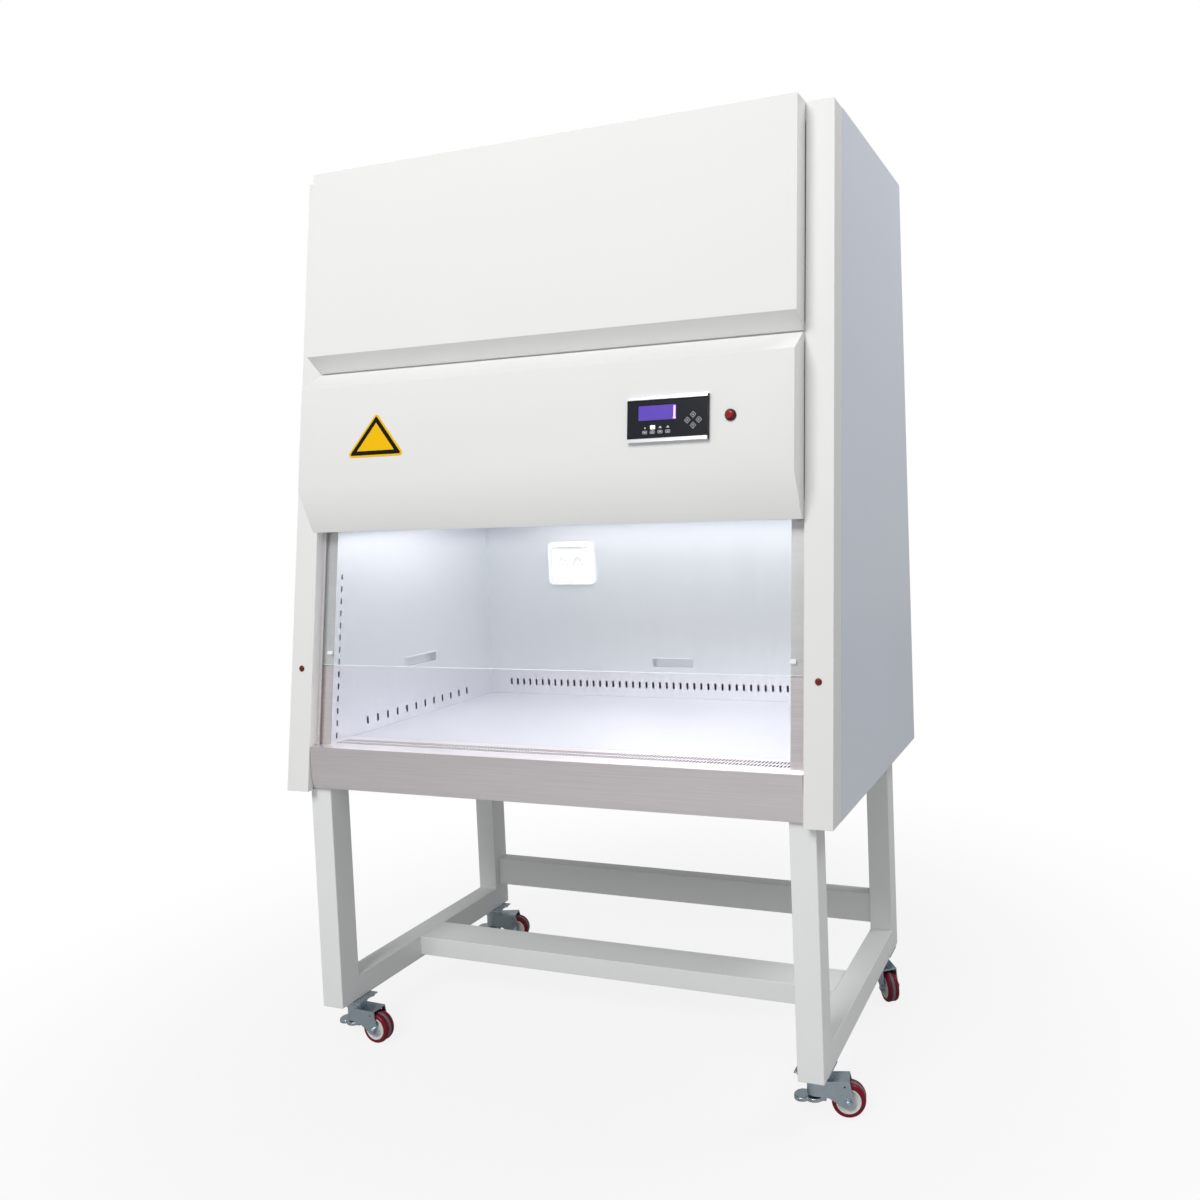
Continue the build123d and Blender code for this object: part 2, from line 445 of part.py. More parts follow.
with BuildPart() as plenum_box:
    slab(-PLENUM_HALF, PLENUM_HALF, PLENUM_FRONT, PLENUM_BACK, CEILING_Z + SHEET + FILTER_H, PLENUM_TOP)
    offset(amount=-SHEET, openings=plenum_box.faces().sort_by(Axis.Z)[0])
    slab(FAN_X - FAN_W / 2 + 10, FAN_X + FAN_W / 2 - 10, FAN_Y - SCROLL_R + 5, FAN_Y - 35, PLENUM_TOP - 5,
         PLENUM_TOP + 5, mode=Mode.SUBTRACT)
    slab(DUCT_X0, DUCT_X1, DUCT_Y0, DUCT_Y1, PLENUM_TOP - 5, PLENUM_TOP + 5, mode=Mode.SUBTRACT)

with BuildPart() as exhaust_filter:
    slab(DUCT_X0 - 30, DUCT_X1 + 30, DUCT_Y0 - 30, DUCT_Y1 + 30, PLENUM_TOP, PLENUM_TOP + EXHAUST_FILTER_H)
    slab(DUCT_X0 - 18, DUCT_X1 + 18, DUCT_Y0 - 18, DUCT_Y1 + 18, PLENUM_TOP - 1,
         PLENUM_TOP + EXHAUST_FILTER_H + 1, mode=Mode.SUBTRACT)
    slab(DUCT_X0 - 18, DUCT_X1 + 18, DUCT_Y0 - 18, DUCT_Y1 + 18, PLENUM_TOP + 6,
         PLENUM_TOP + EXHAUST_FILTER_H - 6)

with BuildPart() as exhaust_duct:
    foot = PLENUM_TOP + EXHAUST_FILTER_H
    slab(DUCT_X0 - 30, DUCT_X1 + 30, DUCT_Y0 - 30, DUCT_Y1 + 30, foot, foot + SHEET)
    slab(DUCT_X0 - SHEET, DUCT_X1 + SHEET, DUCT_Y0 - SHEET, DUCT_Y1 + SHEET, foot, Z_SKIN)
    slab(DUCT_X0, DUCT_X1, DUCT_Y0, DUCT_Y1, foot - 1, Z_SKIN + 1, mode=Mode.SUBTRACT)

with BuildPart() as blower_housing:
    with BuildSketch(Plane.YZ.offset(FAN_X - FAN_W / 2)):
        with Locations((FAN_Y, FAN_Z)):
            Circle(SCROLL_R)
        with Locations((FAN_Y - SCROLL_R, PLENUM_TOP)):
            Rectangle(SCROLL_R - 30, FAN_Z - PLENUM_TOP, align=(Align.MIN, Align.MIN))
    extrude(amount=FAN_W)
    offset(amount=-SHEET, openings=blower_housing.faces().sort_by(Axis.Z)[0])
    with Locations((FAN_X, FAN_Y, FAN_Z)):
        Cylinder(88, FAN_W + 10, rotation=(0, 90, 0), mode=Mode.SUBTRACT)
    motor_x = FAN_X - 50
    slab(FAN_X - FAN_W / 2, FAN_X - FAN_W / 2 + 4, FAN_Y - 100, FAN_Y + 100, FAN_Z - 20, FAN_Z + 20)
    with Locations((FAN_X - FAN_W / 2 + 4, FAN_Y, FAN_Z)):
        Cylinder(45, FAN_W / 2 - 6, rotation=(0, 90, 0), align=STACK)
        Cylinder(SHAFT_D / 2, FAN_W / 2 + 20, rotation=(0, 90, 0), align=STACK)
    slab(FAN_X + FAN_W / 2, FAN_X + FAN_W / 2 + 20, FAN_Y - 12, FAN_Y + 12, PLENUM_TOP, PLENUM_TOP + SHEET)

with BuildPart() as blower_rotor:
    with BuildSketch(Plane.YZ.offset(FAN_X)):
        with Locations((FAN_Y, FAN_Z)):
            Circle(ROTOR_R)
            Circle(SHAFT_D / 2 + RUN_FIT, mode=Mode.SUBTRACT)
    extrude(amount=3)
    with BuildSketch(Plane.YZ.offset(FAN_X)):
        with Locations((FAN_Y, FAN_Z)):
            Circle(22)
            Circle(SHAFT_D / 2 + RUN_FIT, mode=Mode.SUBTRACT)
    extrude(amount=16)
    for x in (FAN_X - 96, FAN_X + 93):
        with BuildSketch(Plane.YZ.offset(x)):
            with Locations((FAN_Y, FAN_Z)):
                Circle(ROTOR_R)
                Circle(ROTOR_R - 24, mode=Mode.SUBTRACT)
        extrude(amount=3)
    with BuildSketch(Plane.YZ.offset(FAN_X - 95)):
        with Locations((FAN_Y, FAN_Z)):
            with PolarLocations(ROTOR_R - 12, BLADES):
                Rectangle(22, 2, rotation=35)
    extrude(amount=190)

# ---------------------------------------------------------------- controller
ARROWS = {"up": (0, ARROW_DY), "down": (0, -ARROW_DY), "left": (-ARROW_DX, 0), "right": (ARROW_DX, 0)}
F_KEYS = [(F_KEY_X + (i - 1.5) * F_KEY_PITCH, F_KEY_Y) for i in range(4)]

with BuildPart() as controller_frame:
    with BuildSketch(FACE):
        Rectangle(CTRL_W, CTRL_H)
    extrude(amount=CTRL_D)
    for side in (-1, 1):
        with BuildSketch(FACE):
            with Locations((0, side * (CTRL_H - RAIL_H) / 2)):
                RectangleRounded(CTRL_W, RAIL_H, 2)
        extrude(amount=RAIL_D)
    with BuildSketch(FACE.offset(CTRL_D)):
        with Locations((SCREEN_X, SCREEN_Y)):
            Rectangle(SCREEN_W, SCREEN_H)
    extrude(amount=-2, mode=Mode.SUBTRACT)
    with BuildSketch(FACE.offset(CTRL_D)):
        with Locations(*F_KEYS):
            Rectangle(F_KEY_W + 2 * KEY_GAP, F_KEY_H + 2 * KEY_GAP)
        with Locations(*[(ARROW_X + x, ARROW_Y + y) for x, y in ARROWS.values()]):
            Rectangle(ARROW_SIDE + 2 * KEY_GAP, ARROW_SIDE + 2 * KEY_GAP, rotation=45)
    extrude(amount=-KEY_WELL, mode=Mode.SUBTRACT)

with BuildPart() as screen:
    with BuildSketch(FACE.offset(CTRL_D - 2)):
        with Locations((SCREEN_X, SCREEN_Y)):
            Rectangle(SCREEN_W - 0.4, SCREEN_H - 0.4)
    extrude(amount=1.6)

KEY_TOP = CTRL_D + KEY_PROUD
with BuildPart() as key_f1:
    with BuildSketch(FACE.offset(KEY_TOP - KEY_D)):
        with Locations(F_KEYS[0]):
            RectangleRounded(F_KEY_W, F_KEY_H, 2.5)
    extrude(amount=KEY_D)

with BuildPart() as key_f2:
    with Locations((F_KEY_PITCH, 0, 0)):
        add(key_f1.part)

with BuildPart() as key_f3:
    with Locations((2 * F_KEY_PITCH, 0, 0)):
        add(key_f1.part)

with BuildPart() as key_f4:
    with Locations((3 * F_KEY_PITCH, 0, 0)):
        add(key_f1.part)

with BuildPart() as key_up:
    with BuildSketch(FACE.offset(KEY_TOP - KEY_D)):
        with Locations((ARROW_X, ARROW_Y + ARROW_DY)):
            RectangleRounded(ARROW_SIDE, ARROW_SIDE, 1.5, rotation=45)
    extrude(amount=KEY_D)

with BuildPart() as key_down:
    with Locations((0, -2 * ARROW_DY * SIN, -2 * ARROW_DY * COS)):
        add(key_up.part)

with BuildPart() as key_left:
    with Locations((-ARROW_DX, -ARROW_DY * SIN, -ARROW_DY * COS)):
        add(key_up.part)

with BuildPart() as key_right:
    with Locations((ARROW_DX, -ARROW_DY * SIN, -ARROW_DY * COS)):
        add(key_up.part)

with BuildPart() as button_bezel:
    with Locations(FACE):
        with Locations((BUTTON_X, 0, 0)):
            Cylinder(BEZEL_D / 2, BEZEL_H, align=STACK)
            Cylinder(BARREL_D / 2, 24, align=HANG)
            Cylinder(BUTTON_D / 2 + KEY_GAP, 30, align=(Align.CENTER, Align.CENTER, Align.CENTER),
                     mode=Mode.SUBTRACT)
    chamfer(button_bezel.faces().sort_by(Axis.Y)[0].edges().sort_by(SortBy.LENGTH)[-1], length=1.5)

with BuildPart() as red_button:
    with Locations(FACE):
        with Locations((BUTTON_X, 0, -12)):
            Cylinder(BUTTON_D / 2, 22, align=STACK)
    fillet(red_button.faces().sort_by(Axis.Y)[0].edges(), radius=3)

# ---------------------------------------------------------------- stand
with BuildPart() as stand_right_frame:
    for y0 in (LEG_FRONT, LEG_BACK - TUBE):
        slab(LEG_IN, LEG_OUT, y0, y0 + TUBE, CASTOR_H, PAN_Z)
        slab(LEG_IN + TUBE_WALL, LEG_OUT - TUBE_WALL, y0 + TUBE_WALL, y0 + TUBE - TUBE_WALL, CASTOR_H + TUBE_WALL,
             PAN_Z - TUBE_WALL, mode=Mode.SUBTRACT)
    slab(LEG_IN, LEG_OUT, LEG_FRONT + TUBE, LEG_BACK - TUBE, CASTOR_H, CASTOR_H + TUBE)
    slab(LEG_IN + TUBE_WALL, LEG_OUT - TUBE_WALL, LEG_FRONT + TUBE, LEG_BACK - TUBE, CASTOR_H + TUBE_WALL,
         CASTOR_H + TUBE - TUBE_WALL, mode=Mode.SUBTRACT)
    slab(LEG_IN, LEG_OUT, LEG_FRONT + TUBE, LEG_BACK - TUBE, PAN_Z - TOP_RAIL_H, PAN_Z)
    slab(LEG_IN + TUBE_WALL, LEG_OUT - TUBE_WALL, LEG_FRONT + TUBE, LEG_BACK - TUBE,
         PAN_Z - TOP_RAIL_H + TUBE_WALL, PAN_Z - TUBE_WALL, mode=Mode.SUBTRACT)

with BuildPart() as stand_left_frame:
    add(mirror(stand_right_frame.part, about=Plane.YZ))

with BuildPart() as stand_cross_rails:
    mid_top = CASTOR_H + TUBE
    slab(-LEG_IN, LEG_IN, MID_RAIL_Y, MID_RAIL_Y + MID_RAIL_D, mid_top - MID_RAIL_H, mid_top)
    slab(-LEG_IN - 1, LEG_IN + 1, MID_RAIL_Y + TUBE_WALL, MID_RAIL_Y + MID_RAIL_D - TUBE_WALL,
         mid_top - MID_RAIL_H + TUBE_WALL, mid_top - TUBE_WALL, mode=Mode.SUBTRACT)
    slab(-LEG_IN, LEG_IN, LEG_BACK - REAR_RAIL_D, LEG_BACK, REAR_RAIL_Z, REAR_RAIL_Z + REAR_RAIL_H)
    slab(-LEG_IN - 1, LEG_IN + 1, LEG_BACK - REAR_RAIL_D + TUBE_WALL, LEG_BACK - TUBE_WALL,
         REAR_RAIL_Z + TUBE_WALL, REAR_RAIL_Z + REAR_RAIL_H - TUBE_WALL, mode=Mode.SUBTRACT)
    for y0 in (LEG_FRONT, LEG_BACK - REAR_RAIL_D):
        slab(-LEG_IN, LEG_IN, y0, y0 + REAR_RAIL_D, PAN_Z - TOP_RAIL_H, PAN_Z)
        slab(-LEG_IN - 1, LEG_IN + 1, y0 + TUBE_WALL, y0 + REAR_RAIL_D - TUBE_WALL,
             PAN_Z - TOP_RAIL_H + TUBE_WALL, PAN_Z - TUBE_WALL, mode=Mode.SUBTRACT)

# ---------------------------------------------------------------- castors
with BuildPart() as castor_plates:
    with Locations(*[(x, y, CASTOR_H) for x, y in PIVOTS.values()]):
        Box(PLATE_W, PLATE_D, PLATE_T, align=HANG)
        Cylinder(RACE_D / 2, PLATE_T + RACE_H, align=HANG)
        Cylinder(KINGPIN_D / 2, CASTOR_H - 66, align=HANG)

# One castor about its own swivel axis, the wheel trailing towards +X.
with BuildPart() as fork:
    # Pressed sheet that wraps round the swivel head, with two cheeks that carry the wheel.
    with BuildSketch(Plane.XY.offset(CROWN_Z)):
        Circle(FORK_IN + FORK_T)
        Rectangle(TRAIL + LUG_R, 2 * (FORK_IN + FORK_T), align=(Align.MIN, Align.CENTER))
    extrude(amount=-CROWN_Z)
    with BuildSketch(Plane.XY.offset(CROWN_Z - FORK_T)):
        Circle(FORK_IN)
        Rectangle(2 * TRAIL, 2 * FORK_IN, align=(Align.MIN, Align.CENTER))
    extrude(amount=-CROWN_Z, mode=Mode.SUBTRACT)
    with BuildSketch(Plane.XZ):
        Polygon((-RACE_D, CROWN_Z), (FORK_END, CROWN_Z), (TRAIL + LUG_R - 1, AXLE_Z + 6), (TRAIL, AXLE_Z),
                (TRAIL - LUG_R / 2, AXLE_Z - LUG_R + 1), (TRAIL * 0.4, SKIRT_Z - 3), (8, SKIRT_Z),
                (-RACE_D, SKIRT_Z + 5), align=None)
        with Locations((TRAIL, AXLE_Z)):
            Circle(LUG_R)
    extrude(amount=RACE_D, both=True, mode=Mode.INTERSECT)
    # Swivel head: the lower race, under the balls.
    with Locations((0, 0, FORK_TOP)):
        Cylinder(RACE_D / 2, 5, align=HANG)
        Cylinder(RACE_D / 2 - 4, FORK_TOP - CROWN_Z, align=HANG)
    # Axle with its bolt heads, the lightening holes of the cheeks and the pin of the pedal.
    with Locations((TRAIL - 8, 0, CROWN_Z - 12)):
        Cylinder(2, 4 * FORK_IN, rotation=(90, 0, 0), mode=Mode.SUBTRACT)
    with Locations((TRAIL, 0, AXLE_Z)):
        Cylinder(AXLE_D / 2, 2 * (FORK_IN + FORK_T) + 14, rotation=(90, 0, 0))
        Cylinder(7, 2 * (FORK_IN + FORK_T + 5), rotation=(90, 0, 0))
        Cylinder(7, 2 * FORK_IN, rotation=(90, 0, 0), mode=Mode.SUBTRACT)
        Cylinder(AXLE_D / 2, 2 * FORK_IN, rotation=(90, 0, 0))
    with Locations((PEDAL_X, 0, PEDAL_Z)):
        Cylinder(PEDAL_PIN / 2, 2 * FORK_IN + 1, rotation=(90, 0, 0))
    with Locations((0, 0, FORK_TOP)):
        Cylinder(KINGPIN_D / 2 + RUN_FIT, FORK_TOP - SKIRT_Z, align=HANG, mode=Mode.SUBTRACT)

with BuildPart() as wheel:
    half, tread_r, hub_r = WHEEL_W / 2, WHEEL_D / 2, TREAD_IN_D / 2
    with BuildSketch(Plane.XZ):
        with BuildLine():
            Line((hub_r - 2, 0), (hub_r - 2, half - 2))
            Line((hub_r - 2, half - 2), (hub_r + 2, half - 0.5))
            ThreePointArc((hub_r + 2, half - 0.5), (tread_r - 2.2, half - 3), (tread_r, half - 9))
            Polyline((tread_r, half - 9), (tread_r - 1, 4.5), (tread_r - 0.6, 3.5), (tread_r - 0.6, 0),
                     (hub_r - 2, 0))
        make_face()
        mirror(about=Plane.XY)
    revolve(axis=Axis.Z)
    with BuildSketch(Plane.XZ):
        with BuildLine():
            Polyline((AXLE_D / 2 + RUN_FIT, 0), (AXLE_D / 2 + RUN_FIT, FORK_IN - 0.4), (10, FORK_IN - 0.4),
                     (11.5, half - 4))
            ThreePointArc((11.5, half - 4), (17, half - 9), (hub_r - 5, half - 3))
            Polyline((hub_r - 5, half - 3), (hub_r - 3.5, half - 1), (hub_r - 0.5, half - 1), (hub_r, half - 3),
                     (hub_r, 0), (AXLE_D / 2 + RUN_FIT, 0))
        make_face()
        mirror(about=Plane.XY)
    revolve(axis=Axis.Z)

with BuildPart() as pedal:
    # Pressed tread plate with two lobes and a turned-down rim.
    pedal_low = PEDAL_Z - 9 - PEDAL_RIM
    with BuildSketch(Plane.XY.offset(pedal_low)):
        with Locations((-30, 0)):
            Circle(19)
        with Locations((-3, 0)):
            Circle(22)
        Rectangle(PEDAL_X + 6, 30, align=(Align.MIN, Align.CENTER))
    extrude(amount=PEDAL_RIM)
    fillet(pedal.edges().filter_by(Axis.Z), radius=3)
    fillet(pedal.faces().sort_by(Axis.Z)[-1].edges(), radius=2)
    offset(amount=-1.6, openings=pedal.faces().sort_by(Axis.Z)[0])
    for side in (-1, 1):
        with BuildSketch(Plane.XZ.offset(side * 16.5)):
            with Locations((PEDAL_X, PEDAL_Z)):
                Circle(PEDAL_PIN / 2 + 3)
            with Locations((PEDAL_X, PEDAL_Z - 12)):
                Rectangle(PEDAL_PIN + 6, 12, align=(Align.CENTER, Align.MIN))
        extrude(amount=-side * PEDAL_T)
    with Locations((PEDAL_X, 0, PEDAL_Z)):
        Cylinder(PEDAL_PIN / 2 + RUN_FIT, 60, rotation=(90, 0, 0), mode=Mode.SUBTRACT)


def castor_at(corner):
    """Where the castor of a corner stands, turned as it was last rolled."""
    x, y = PIVOTS[corner]
    return Location((x, y, 0), (0, 0, SWIVEL[corner]))


ROLL = Location((TRAIL, 0, AXLE_Z), (90, 0, 0))
corner_parts = {}
for corner in PIVOTS:
    with BuildPart() as castor_fork:
        with Locations(castor_at(corner)):
            add(fork.part)
    with BuildPart() as castor_wheel:
        with Locations(castor_at(corner) * ROLL):
            add(wheel.part)
    with BuildPart() as castor_pedal:
        with Locations(castor_at(corner)):
            add(pedal.part)
    corner_parts[f"castor_fork_{corner}"] = castor_fork.part
    corner_parts[f"castor_wheel_{corner}"] = castor_wheel.part
    corner_parts[f"castor_pedal_{corner}"] = castor_pedal.part

# ---------------------------------------------------------------- export
nodes = {
    "front_post_l": front_post_l.part, "front_post_r": front_post_r.part,
    "side_panel_l": side_panel_l.part, "side_panel_r": side_panel_r.part,
    "back_panel": back_panel.part, "top_cover": top_cover.part,
    "upper_front_panel": upper_front_panel.part, "control_panel": control_panel.part,
    "front_crossbars": front_crossbars.part, "post_screws": post_screws.part,
    "base_pan": base_pan.part, "front_apron": front_apron.part,
    "front_grille": front_grille.part, "work_surface": work_surface.part,
    "tray_supports": tray_supports.part, "chamber_back_wall": chamber_back_wall.part,
    "chamber_side_wall_l": chamber_side_wall_l.part, "chamber_side_wall_r": chamber_side_wall_r.part,
    "wall_recesses": wall_recesses.part, "ceiling_deck": ceiling_deck.part, "lamps": lamps.part,
    "sash_glass": sash_glass.part, "sash_fittings": sash_fittings.part, "sash_guides": sash_guides.part,
    "socket_box": socket_box.part, "socket_lid": socket_lid.part,
    "supply_filter": supply_filter.part, "plenum_box": plenum_box.part,
    "exhaust_filter": exhaust_filter.part, "exhaust_duct": exhaust_duct.part,
    "blower_housing": blower_housing.part, "blower_rotor": blower_rotor.part,
    "controller_frame": controller_frame.part, "screen": screen.part,
    "key_f1": key_f1.part, "key_f2": key_f2.part, "key_f3": key_f3.part, "key_f4": key_f4.part,
    "key_up": key_up.part, "key_down": key_down.part, "key_left": key_left.part, "key_right": key_right.part,
    "button_bezel": button_bezel.part, "red_button": red_button.part,
    "stand_left_frame": stand_left_frame.part, "stand_right_frame": stand_right_frame.part,
    "stand_cross_rails": stand_cross_rails.part, "castor_plates": castor_plates.part,
    **corner_parts,
}
os.makedirs("parts", exist_ok=True)
for label, piece in nodes.items():
    piece.label = label
    export_step(piece, f"parts/{label}.step")
    box = piece.bounding_box()
    print(f"{label:22s} solids {len(piece.solids()):2d}  x {box.min.X:7.1f} {box.max.X:7.1f}  "
          f"y {box.min.Y:7.1f} {box.max.Y:7.1f}  z {box.min.Z:7.1f} {box.max.Z:7.1f}")
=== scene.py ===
"""Looks of the biosafety cabinet: finishes, small fittings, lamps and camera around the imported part.

Metres, in the part's own frame: +Z up, the front faces -Y, X to the viewer's right.
"""

import json
import math

import bmesh
import bpy
from mathutils import Matrix, Vector


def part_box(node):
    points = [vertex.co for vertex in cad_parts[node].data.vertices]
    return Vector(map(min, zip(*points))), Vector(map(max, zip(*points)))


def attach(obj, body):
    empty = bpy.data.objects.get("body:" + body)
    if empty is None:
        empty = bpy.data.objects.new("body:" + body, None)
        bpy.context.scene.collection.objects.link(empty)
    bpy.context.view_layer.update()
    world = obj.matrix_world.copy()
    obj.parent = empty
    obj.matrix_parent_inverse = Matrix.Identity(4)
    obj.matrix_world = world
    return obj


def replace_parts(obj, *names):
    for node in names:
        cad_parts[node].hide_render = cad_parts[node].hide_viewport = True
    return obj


MM = 0.001
SLANT = math.radians(6.8)
TAN, COS, SIN = math.tan(SLANT), math.cos(SLANT), math.sin(SLANT)
FOOT_Y, FOOT_Z = -0.405, 0.660          # lower edge of the front posts
CONTROL_OUT = 0.066                     # the control panel's face in front of the posts

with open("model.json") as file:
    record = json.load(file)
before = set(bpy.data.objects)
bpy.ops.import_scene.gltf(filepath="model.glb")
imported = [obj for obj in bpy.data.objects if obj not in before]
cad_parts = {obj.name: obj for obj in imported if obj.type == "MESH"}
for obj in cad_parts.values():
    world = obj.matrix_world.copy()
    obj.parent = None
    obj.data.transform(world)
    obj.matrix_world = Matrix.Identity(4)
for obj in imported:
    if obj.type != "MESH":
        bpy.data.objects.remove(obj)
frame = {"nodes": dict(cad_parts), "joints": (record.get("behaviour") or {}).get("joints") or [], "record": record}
NODES, BODIES = frame["nodes"], frame["record"]["behaviour"]["bodies"]
BODY_OF = {node: body for body, nodes in BODIES.items() for node in nodes}
SLOT_OF = {part["node"]: part["material_slot"] for part in frame["record"]["subparts"]}
JOINTS = {joint["name"]: joint for joint in frame["joints"]}
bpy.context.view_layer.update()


def front_y(z, inset=0.0):
    """Y of the slanted front at height z."""
    return FOOT_Y + (z - FOOT_Z) * TAN + inset


def on_front(x, z, out):
    """Frame on the slanted front: local x to the right, y up the slope, z outwards."""
    m = Matrix(((1, 0, 0), (0, SIN, -COS), (0, COS, SIN))).to_4x4()
    m.translation = (x, front_y(z, -out), z)
    return m


# ---------------------------------------------------------------- finishes
def srgb(r, g, b):
    """Linear colour of an 8-bit screen colour."""
    channels = (c / 255 for c in (r, g, b))
    return tuple(c / 12.92 if c <= 0.04045 else ((c + 0.055) / 1.055) ** 2.4 for c in channels) + (1.0,)


def finish(name, color, rough, metal=0.0, drift=0.03, drift_scale=3.0, uneven=0.06, stretch=(1, 1, 1),
           relief=0.1, relief_scale=700.0, depth=0.0002, pattern="noise", **sockets):
    """A surface whose colour drifts, whose gloss is uneven and whose skin has a fine relief."""
    made = bpy.data.materials.new(name)
    made.use_nodes = True
    tree = made.node_tree
    shader = tree.nodes["Principled BSDF"]

    def add(kind, **values):
        node = tree.nodes.new(kind)
        for key, value in values.items():
            if hasattr(node, key):
                setattr(node, key, value)
            else:
                node.inputs[key].default_value = value
        return node

    place = add("ShaderNodeTexCoord").outputs["Object"]
    turned = add("ShaderNodeMapping", Scale=stretch)
    tree.links.new(place, turned.inputs["Vector"])
    cloud = add("ShaderNodeTexNoise", Scale=drift_scale, Detail=3.0)
    tree.links.new(turned.outputs["Vector"], cloud.inputs["Vector"])
    tint = add("ShaderNodeMix", data_type="RGBA")
    tree.links.new(cloud.outputs["Fac"], tint.inputs["Factor"])
    for socket, gain in ((tint.inputs[6], 1 - drift), (tint.inputs[7], 1 + drift)):
        socket.default_value = tuple(min(c * gain, 1.0) for c in color[:3]) + (1.0,)
    tree.links.new(tint.outputs[2], shader.inputs["Base Color"])
    gloss = add("ShaderNodeMapRange")
    gloss.inputs["To Min"].default_value = max(rough - uneven, 0.02)
    gloss.inputs["To Max"].default_value = min(rough + uneven, 1.0)
    tree.links.new(cloud.outputs["Fac"], gloss.inputs["Value"])
    tree.links.new(gloss.outputs["Result"], shader.inputs["Roughness"])
    if pattern == "spangle":
        skin = add("ShaderNodeTexVoronoi", Scale=relief_scale)
        height = skin.outputs["Distance"]
    elif pattern == "pleats":
        skin = add("ShaderNodeTexWave", Scale=relief_scale, Distortion=0.4)
        height = skin.outputs["Fac"]
    else:
        skin = add("ShaderNodeTexNoise", Scale=relief_scale, Detail=4.0)
        height = skin.outputs["Fac"]
    tree.links.new(turned.outputs["Vector"], skin.inputs["Vector"])
    bump = add("ShaderNodeBump", Strength=relief, Distance=depth)
    tree.links.new(height, bump.inputs["Height"])
    tree.links.new(bump.outputs["Normal"], shader.inputs["Normal"])
    shader.inputs["Metallic"].default_value = metal
    for key, value in sockets.items():
        shader.inputs[key.replace("_", " ")].default_value = value
    return made


ALONG_X, UPRIGHT, PLAIN = (1.5, 90, 90), (90, 90, 1.5), (1, 1, 1)
FINISH = {
    "white_paint": finish("white_paint", srgb(238, 238, 237), 0.45, drift=0.012, relief=0.25,
                          Specular_IOR_Level=0.1),
    "side_paint": finish("side_paint", srgb(228, 234, 245), 0.36, drift=0.015, relief=0.25),
    "frame_paint": finish("frame_paint", srgb(242, 243, 243), 0.40, drift=0.02, relief=0.25),
    "stainless": finish("stainless", srgb(234, 228, 229), 0.34, 0.8, 0.10, 3.0, 0.10, ALONG_X, 0.25, 14.0),
    "chamber_stainless": finish("chamber_stainless", srgb(222, 223, 228), 0.36, 0.75, 0.04, 3.0, 0.08, UPRIGHT,
                                0.2, 14.0),
    "galvanised": finish("galvanised", srgb(178, 184, 188), 0.45, 0.9, 0.12, 30.0, 0.12, PLAIN, 0.3, 60.0,
                         pattern="spangle"),
    "filter_media": finish("filter_media", srgb(240, 240, 234), 0.9, 0.0, 0.02, 4.0, 0.02, (1, 0.02, 1), 1.0,
                           120.0, 0.004, "pleats"),
    "lamp_glass": finish("lamp_glass", srgb(244, 248, 255), 0.3, 0.0, 0.01, Emission_Color=(0.85, 0.92, 1, 1),
                         Emission_Strength=1.2),
    "sash_glass": finish("sash_glass", srgb(214, 230, 230), 0.04, 0.0, 0.02, 2.0, 0.01, relief=0.0, Alpha=0.10,
                         Specular_IOR_Level=0.8),
    "white_plastic": finish("white_plastic", srgb(250, 250, 251), 0.22, drift=0.01, relief=0.05, Coat_Weight=0.4),
    "lid_plastic": finish("lid_plastic", srgb(250, 251, 253), 0.12, drift=0.01, relief=0.0, Alpha=0.16,
                          Coat_Weight=0.5),
    "black_face": finish("black_face", srgb(26, 28, 36), 0.30, drift=0.08, relief=0.06, relief_scale=1500.0,
                         Specular_IOR_Level=0.2),
    "screen": finish("screen", srgb(24, 22, 40), 0.12, drift=0.05, relief=0.0),
    "key_rubber": finish("key_rubber", srgb(36, 38, 46), 0.5, drift=0.06, relief=0.3, relief_scale=2500.0),
    "red_lens": finish("red_lens", srgb(158, 14, 18), 0.14, drift=0.08, relief=0.05, Specular_IOR_Level=0.4),
    "copper": finish("copper", srgb(150, 74, 60), 0.28, 1.0, 0.10, 200.0, relief=0.2, relief_scale=2000.0),
    "zinc": finish("zinc", srgb(184, 198, 206), 0.30, 1.0, 0.12, 40.0, 0.12, PLAIN, 0.25, 900.0),
    "wheel_tread": finish("wheel_tread", srgb(120, 8, 32), 0.30, 0.0, 0.12, 60.0, relief=0.2,
                          Specular_IOR_Level=0.3),
}
ALUMINIUM = finish("aluminium_rail", srgb(244, 245, 248), 0.30, 1.0, 0.05, 3.0, 0.08, ALONG_X, 0.25, 14.0)
HUB = finish("hub_plastic", srgb(226, 228, 224), 0.34, drift=0.03, relief=0.15)
STRIPE = finish("tread_stripe", srgb(112, 112, 122), 0.55, drift=0.10, relief=0.4)
YELLOW = finish("sign_yellow", srgb(248, 194, 4), 0.4, drift=0.03, relief=0.15, Specular_IOR_Level=0.15)
BLACK = finish("sign_black", srgb(20, 19, 18), 0.4, drift=0.1, relief=0.15, Specular_IOR_Level=0.15)
MARK = finish("key_mark", srgb(206, 208, 214), 0.4, drift=0.03, relief=0.1)
MARK_LIT = finish("key_mark_lit", srgb(250, 250, 252), 0.4, drift=0.01, relief=0.0, Emission_Color=(1, 1, 1, 1),
                  Emission_Strength=0.7)
DISPLAY = finish("display_lit", srgb(78, 52, 168), 0.2, drift=0.10, drift_scale=30.0, relief=0.0,
                 Emission_Color=srgb(84, 66, 136), Emission_Strength=0.6)
DISPLAY_BAR = finish("display_bar", srgb(232, 190, 246), 0.3, drift=0.10, drift_scale=300.0, relief=0.0,
                     Emission_Color=srgb(232, 190, 246), Emission_Strength=0.7)
BEZEL = finish("bezel_dark", srgb(62, 20, 22), 0.35, drift=0.1, relief=0.1, Specular_IOR_Level=0.3)
